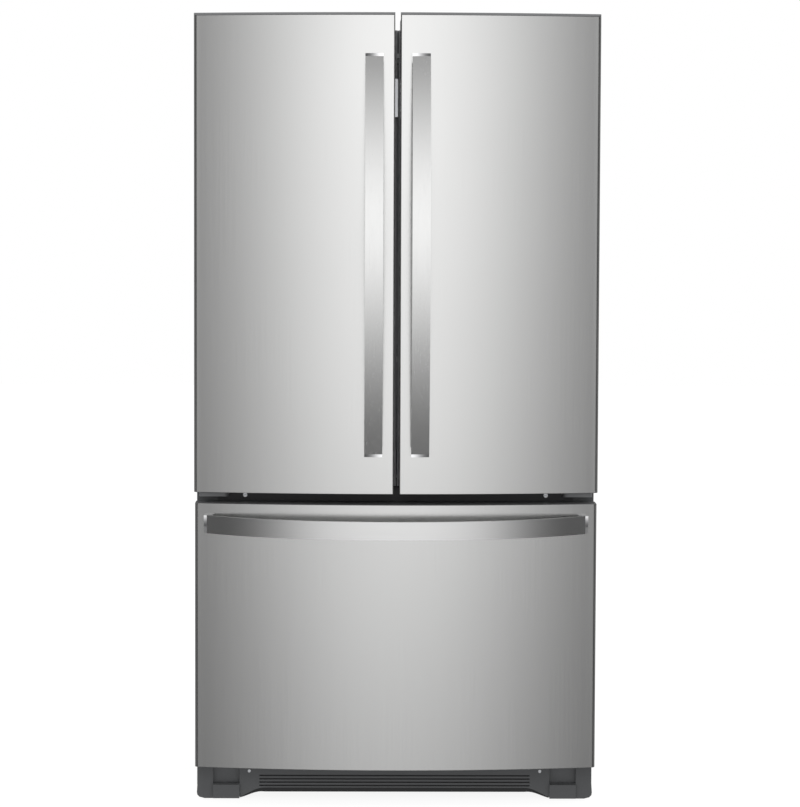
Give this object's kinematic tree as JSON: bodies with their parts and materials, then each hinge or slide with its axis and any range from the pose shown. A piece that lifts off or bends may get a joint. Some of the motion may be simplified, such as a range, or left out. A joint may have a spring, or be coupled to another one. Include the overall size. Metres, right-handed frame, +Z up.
{
  "type": "french door refrigerator",
  "caption": "Bow-fronted steel refrigerator with two side-hinged doors over a pull-out freezer drawer, fitted inside with shelves, bins, cooling parts and hinges.",
  "frame": {"origin": "on the floor, under the middle of the whole, handles included", "axes": "+X to the right seen from the front, +Y to the back, +Z up; the doors face -Y"},
  "size_m": [0.905, 0.894, 1.772],
  "materials": {
    "painted_cabinet": "satin",
    "galvanised": "satin",
    "foam": "matte",
    "white_liner": "satin",
    "dark_trim": "satin",
    "black_steel": "satin",
    "grey_grille": "satin",
    "bright_zinc": "satin",
    "grey_cover": "satin",
    "grey_hinge": "satin",
    "coil_aluminium": "satin",
    "white_trim": "satin",
    "shelf_glass": "gloss",
    "fan_plastic": "satin",
    "clear_bin": "gloss",
    "mullion_plastic": "satin",
    "grey_seal": "matte",
    "brushed_front": "satin",
    "brushed_handle": "satin"
  },
  "bodies": {
    "cabinet": {"cabinet_wrapper": "painted_cabinet", "back_panel": "galvanised", "cabinet_insulation": "foam", "fridge_liner": "white_liner", "freezer_liner": "white_liner", "center_rail": "dark_trim", "base_frame": "black_steel", "toe_grille": "grey_grille", "cabinet_screws": "bright_zinc", "leveling_legs": "bright_zinc", "top_hinges": "bright_zinc", "hinge_covers": "grey_cover", "center_hinges": "grey_hinge", "mullion_guide": "white_liner", "compressor": "black_steel", "condenser_coil": "black_steel", "fan_shroud": "dark_trim", "drain_pan": "grey_cover", "machine_cover": "galvanised", "evaporator_coil": "coil_aluminium", "evaporator_cover": "white_liner", "air_duct": "white_liner", "control_panel": "white_liner", "shelf_tracks": "bright_zinc", "shelf_frames": "white_trim", "shelf_glass": "shelf_glass", "slide_outer": "bright_zinc"},
    "left_door": {"left_door_skin": "brushed_front", "left_door_core": "foam", "left_door_liner": "white_liner", "left_door_gasket": "grey_seal", "left_door_end_caps": "dark_trim", "left_door_handle": "brushed_handle", "left_door_bins": "clear_bin", "flipper_brackets": "bright_zinc"},
    "right_door": {"right_door_skin": "brushed_front", "right_door_core": "foam", "right_door_liner": "white_liner", "right_door_gasket": "grey_seal", "right_door_end_caps": "dark_trim", "right_door_handle": "brushed_handle", "right_door_bins": "clear_bin"},
    "freezer_drawer": {"drawer_skin": "brushed_front", "drawer_core": "foam", "drawer_liner": "white_liner", "drawer_gasket": "grey_seal", "drawer_end_caps": "dark_trim", "drawer_handle": "brushed_handle", "freezer_bin": "white_trim", "slide_inner": "bright_zinc"},
    "flipper": {"flipper_mullion": "mullion_plastic"},
    "dairy_lid_body": {"dairy_lid": "clear_bin"},
    "slides_middle": {"slide_middle": "bright_zinc"},
    "upper_basket": {"freezer_basket": "white_trim"},
    "left_crisper": {"crisper_left": "clear_bin"},
    "right_crisper": {"crisper_right": "clear_bin"},
    "condenser_fan_wheel": {"condenser_fan": "fan_plastic"},
    "evaporator_fan_wheel": {"evaporator_fan": "fan_plastic"},
    "front_roller_pair": {"front_rollers": "dark_trim"},
    "rear_roller_pair": {"rear_rollers": "dark_trim"}
  },
  "joints": [
    {"name": "left_door_hinge", "type": "hinge", "parent": "cabinet", "child": "left_door", "pos_m": [-0.4305, -0.309, 1.2], "axis": [0, 0, -1], "range_deg": [0, 115]},
    {"name": "right_door_hinge", "type": "hinge", "parent": "cabinet", "child": "right_door", "pos_m": [0.4305, -0.309, 1.2], "axis": [0, 0, 1], "range_deg": [0, 115]},
    {"name": "mullion_fold", "type": "hinge", "parent": "left_door", "child": "flipper", "pos_m": [-0.021, -0.265, 1.2], "axis": [0, 0, -1], "range_deg": [0, 90]},
    {"name": "dairy_lid_hinge", "type": "hinge", "parent": "right_door", "child": "dairy_lid_body", "pos_m": [0.2, -0.281, 1.54667], "axis": [1, 0, 0], "range_deg": [0, 80]},
    {"name": "freezer_slide", "type": "slide", "parent": "cabinet", "child": "freezer_drawer", "axis": [0, -1, 0], "range_m": [0, 0.42]},
    {"name": "slide_middle_travel", "type": "slide", "parent": "cabinet", "child": "slides_middle", "axis": [0, -1, 0], "range_m": [0, 0.21]},
    {"name": "basket_slide", "type": "slide", "parent": "cabinet", "child": "upper_basket", "axis": [0, -1, 0], "range_m": [0, 0.252]},
    {"name": "left_crisper_slide", "type": "slide", "parent": "cabinet", "child": "left_crisper", "axis": [0, -1, 0], "range_m": [0, 0.22]},
    {"name": "right_crisper_slide", "type": "slide", "parent": "cabinet", "child": "right_crisper", "axis": [0, -1, 0], "range_m": [0, 0.22]},
    {"name": "condenser_fan_spin", "type": "hinge", "parent": "cabinet", "child": "condenser_fan_wheel", "pos_m": [-0.02, 0.345, 0.15], "axis": [1, 0, 0], "continuous": true},
    {"name": "evaporator_fan_spin", "type": "hinge", "parent": "cabinet", "child": "evaporator_fan_wheel", "pos_m": [0, 0.33, 0.5897], "axis": [0, 1, 0], "continuous": true},
    {"name": "front_rollers_spin", "type": "hinge", "parent": "cabinet", "child": "front_roller_pair", "pos_m": [0, -0.187, 0.022], "axis": [1, 0, 0], "continuous": true},
    {"name": "rear_rollers_spin", "type": "hinge", "parent": "cabinet", "child": "rear_roller_pair", "pos_m": [0, 0.392, 0.02], "axis": [1, 0, 0], "continuous": true}
  ],
  "couplings": [
    {"joint": "slide_middle_travel", "follows": "freezer_slide", "ratio": 0.5},
    {"joint": "basket_slide", "follows": "freezer_slide", "ratio": 0.6},
    {"joint": "left_crisper_slide", "follows": "left_door_hinge", "m_per_rad": 0.1096},
    {"joint": "right_crisper_slide", "follows": "right_door_hinge", "m_per_rad": 0.1096}
  ]
}
